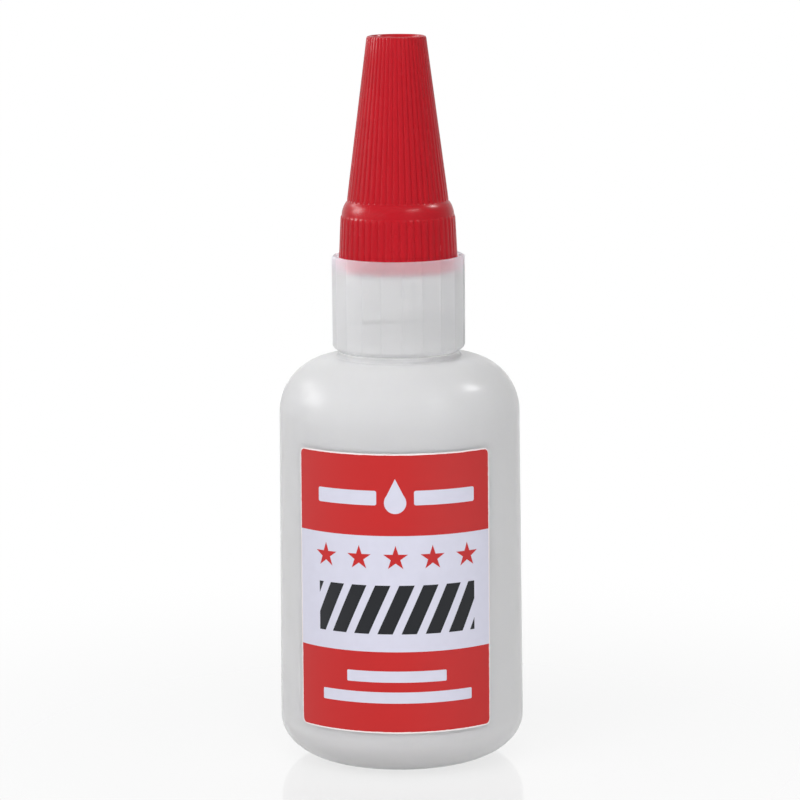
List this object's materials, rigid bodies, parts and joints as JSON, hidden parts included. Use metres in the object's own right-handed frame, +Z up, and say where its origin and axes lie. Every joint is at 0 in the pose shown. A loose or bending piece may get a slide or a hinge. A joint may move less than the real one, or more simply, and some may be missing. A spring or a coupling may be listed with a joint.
{
  "type": "glue bottle",
  "caption": "Round translucent squeeze bottle of liquid glue with a front label, a dropper nozzle under a fluted screw collar, and a ribbed cone screw cap with an anti-clog needle.",
  "frame": {"origin": "centre of the base, on the plane of the foot ring", "axes": "+Z up along the bottle's axis, label facing -Y"},
  "size_m": [0.0374, 0.0376, 0.1104],
  "materials": {
    "bottle": "natural polyethylene, satin",
    "glue": "thick cloudy liquid",
    "label": "printed film, satin",
    "nozzle": "natural polyethylene, satin",
    "collar": "natural polypropylene, satin",
    "cap": "moulded polypropylene, half gloss",
    "needle": "drawn wire"
  },
  "bodies": {
    "bottle": {"bottle_shell": "bottle", "glue_fill": "glue", "front_label": "label"},
    "nozzle": {"dropper_nozzle": "nozzle"},
    "collar": {"screw_collar": "collar"},
    "needle": {"cap_needle": "needle"},
    "cap": {"cap_shell": "cap"}
  },
  "joints": [
    {"name": "collar_rise", "type": "slide", "parent": "bottle", "child": "nozzle", "axis": [0, 0, 1], "range_m": [0, 0.00317]},
    {"name": "collar_unscrew", "type": "hinge", "parent": "nozzle", "child": "collar", "pos_m": [0, 0, 0.07], "axis": [0, 0, 1], "range_deg": [0, 360]},
    {"name": "cap_lift", "type": "slide", "parent": "nozzle", "child": "needle", "axis": [0, 0, 1], "range_m": [0, 0.04]},
    {"name": "cap_unscrew", "type": "hinge", "parent": "needle", "child": "cap", "pos_m": [0, 0, 0.09], "axis": [0, 0, 1], "range_deg": [0, 450]}
  ],
  "couplings": [
    {"joint": "collar_rise", "follows": "collar_unscrew", "m_per_rad": 0.00050531},
    {"joint": "cap_lift", "follows": "cap_unscrew", "m_per_rad": 0.0050929}
  ]
}
